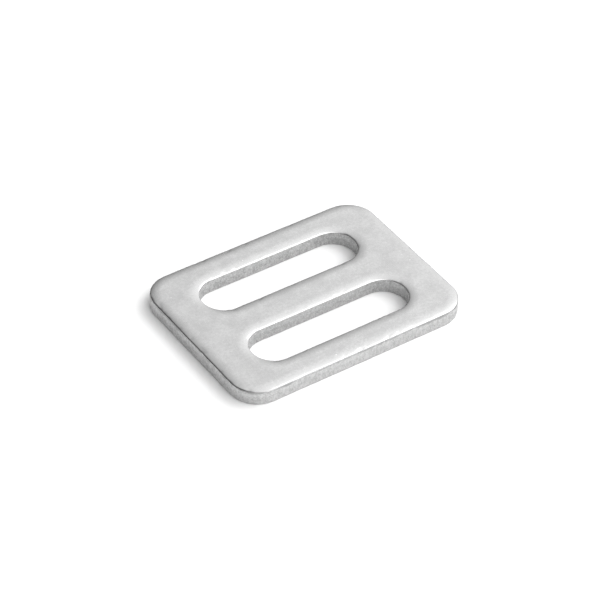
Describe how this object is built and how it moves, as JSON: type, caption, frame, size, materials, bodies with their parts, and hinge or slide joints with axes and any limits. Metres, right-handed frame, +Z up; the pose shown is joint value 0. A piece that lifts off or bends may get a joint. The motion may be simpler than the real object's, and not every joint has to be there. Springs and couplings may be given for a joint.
{
  "type": "webbing slider",
  "caption": "Flat rounded steel plate with parallel full-round slots and a centre bar, which adjusts and locks flat webbing threaded through it.",
  "frame": {"origin": "centre of the flat underside", "axes": "+X along the slots and the long side, +Y across the slots, +Z up out of the face with the rolled edges"},
  "size_m": [0.038, 0.0286, 0.0025],
  "materials": {
    "tumbled_steel": "punched sheet, tumbled to a satin with rounded edges"
  },
  "bodies": {
    "root": {"slider_plate": "tumbled_steel"}
  },
  "joints": []
}
